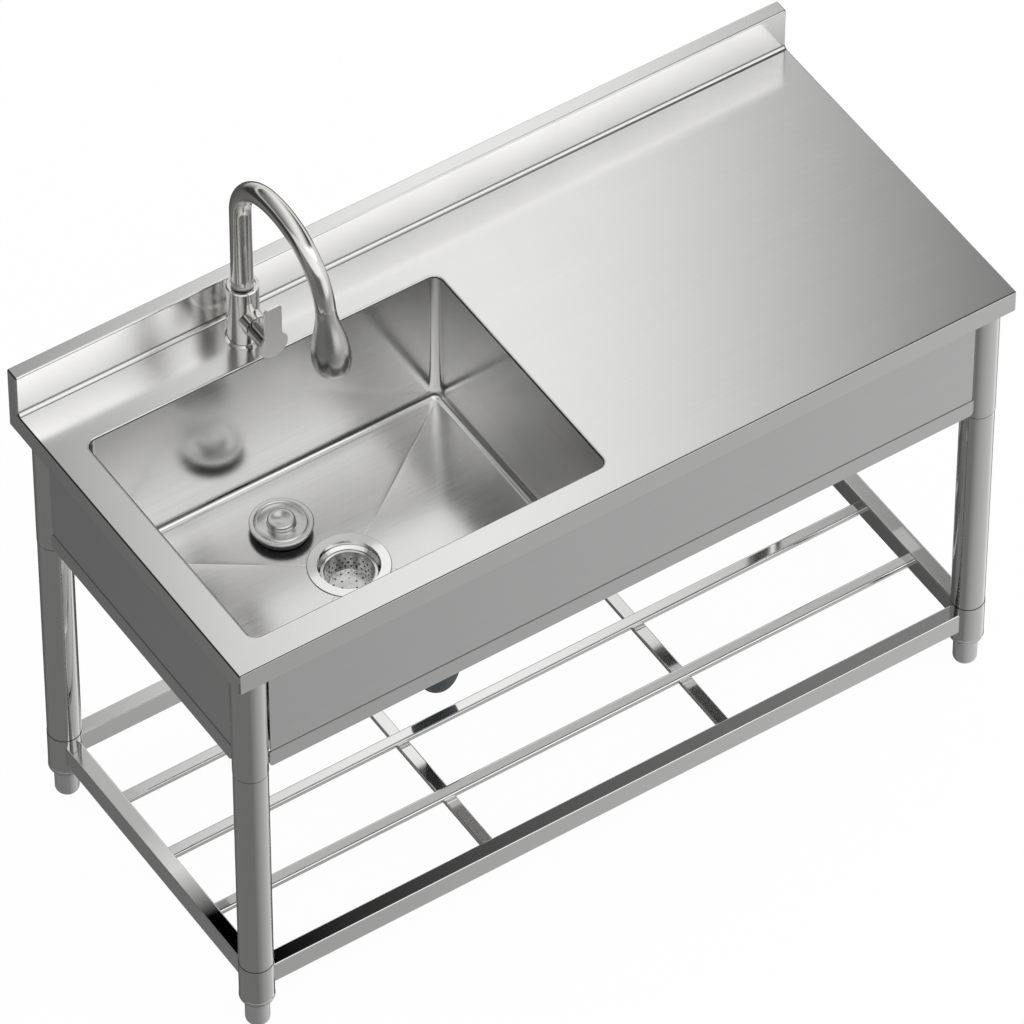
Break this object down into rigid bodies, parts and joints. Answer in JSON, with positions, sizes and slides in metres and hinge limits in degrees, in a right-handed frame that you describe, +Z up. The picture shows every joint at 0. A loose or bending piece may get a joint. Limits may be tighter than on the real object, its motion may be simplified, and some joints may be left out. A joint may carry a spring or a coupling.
{
  "type": "kitchen sink unit",
  "caption": "Free-standing stainless steel kitchen sink unit with a bowl, drainboard, slatted shelf, adjustable feet and a lever mixer tap with pull-out spray.",
  "frame": {"origin": "on the floor under the centre of the unit's plan outline", "axes": "+X along the unit to the user's right, +Y to the wall behind it, +Z up; the user stands at -Y"},
  "size_m": [1.3, 0.6, 1.1532],
  "materials": {
    "steel_sheet": "brushed",
    "galvanised": "plain zinc grey",
    "steel_tube": "polished",
    "foot_steel": "satin",
    "drain_steel": "polished",
    "tap_metal": "brushed nickel",
    "rubber_black": "matt black",
    "plastic_white": "white moulded",
    "plastic_black": "black moulded"
  },
  "bodies": {
    "unit": {"worktop": "steel_sheet", "sink_bowl": "steel_sheet", "front_apron": "steel_sheet", "back_apron": "steel_sheet", "left_apron": "steel_sheet", "right_apron": "steel_sheet", "top_stiffeners": "galvanised", "leg_spigots": "galvanised", "tap_shank": "galvanised", "tap_nut": "galvanised", "leg_top_front_left": "steel_tube", "leg_top_front_right": "steel_tube", "leg_top_back_left": "steel_tube", "leg_top_back_right": "steel_tube", "leg_tube_front_left": "steel_tube", "leg_tube_front_right": "steel_tube", "leg_tube_back_left": "steel_tube", "leg_tube_back_right": "steel_tube", "leg_sleeve_front_left": "steel_tube", "leg_sleeve_front_right": "steel_tube", "leg_sleeve_back_left": "steel_tube", "leg_sleeve_back_right": "steel_tube", "front_rail": "steel_tube", "back_rail": "steel_tube", "left_rail": "steel_tube", "right_rail": "steel_tube", "front_slat": "steel_tube", "middle_slat": "steel_tube", "back_slat": "steel_tube", "left_cross_bar": "steel_tube", "right_cross_bar": "steel_tube", "foot_collars": "foot_steel", "drain_body": "drain_steel", "hose_clamp": "drain_steel", "tap_base_ring": "tap_metal", "tap_body": "tap_metal", "neck_bush": "tap_metal", "drain_gasket": "rubber_black", "tap_washer": "rubber_black", "hose_end_plug": "rubber_black", "drain_lock_nut": "plastic_white", "waste_elbow": "plastic_white", "elbow_nut": "plastic_white", "tap_cartridge": "plastic_white", "waste_hose": "plastic_black"},
    "foot_1": {"foot_front_left": "foot_steel"},
    "foot_2": {"foot_front_right": "foot_steel"},
    "foot_3": {"foot_back_left": "foot_steel"},
    "foot_4": {"foot_back_right": "foot_steel"},
    "basket": {"strainer_basket": "drain_steel"},
    "stopper": {"stopper_cap": "drain_steel", "stopper_seal": "rubber_black"},
    "spindle": {"lever_spindle": "galvanised"},
    "lever": {"lever_sleeve": "tap_metal", "lever_pin": "galvanised", "lever_paddle": "tap_metal"},
    "neck": {"neck_tube": "tap_metal"},
    "spray": {"spray_head": "tap_metal", "spray_face": "plastic_black", "spray_hose": "plastic_black"}
  },
  "joints": [
    {"name": "foot_front_left_height", "type": "slide", "parent": "unit", "child": "foot_1", "axis": [0, 0, 1], "range_m": [-0.01, 0.015]},
    {"name": "foot_front_right_height", "type": "slide", "parent": "unit", "child": "foot_2", "axis": [0, 0, 1], "range_m": [-0.01, 0.015]},
    {"name": "foot_back_left_height", "type": "slide", "parent": "unit", "child": "foot_3", "axis": [0, 0, 1], "range_m": [-0.01, 0.015]},
    {"name": "foot_back_right_height", "type": "slide", "parent": "unit", "child": "foot_4", "axis": [0, 0, 1], "range_m": [-0.01, 0.015]},
    {"name": "basket_lift", "type": "slide", "parent": "unit", "child": "basket", "axis": [0, 0, 1], "range_m": [0, 0.08]},
    {"name": "stopper_lift", "type": "slide", "parent": "unit", "child": "stopper", "axis": [0, 0, 1], "range_m": [0, 0.08]},
    {"name": "lever_turn", "type": "hinge", "parent": "unit", "child": "spindle", "pos_m": [-0.305, 0.186, 0.854], "axis": [0, 1, 0], "range_deg": [-40, 40]},
    {"name": "lever_lift", "type": "hinge", "parent": "spindle", "child": "lever", "pos_m": [-0.305, 0.186, 0.854], "axis": [1, 0, 0], "range_deg": [0, 20]},
    {"name": "neck_swivel", "type": "hinge", "parent": "unit", "child": "neck", "pos_m": [-0.305, 0.23, 0.9], "axis": [0, 0, 1], "range_deg": [-60, 60]},
    {"name": "spray_pull", "type": "slide", "parent": "neck", "child": "spray", "axis": [0.0064, -0.1477, -0.989], "range_m": [0, 0.03]}
  ]
}
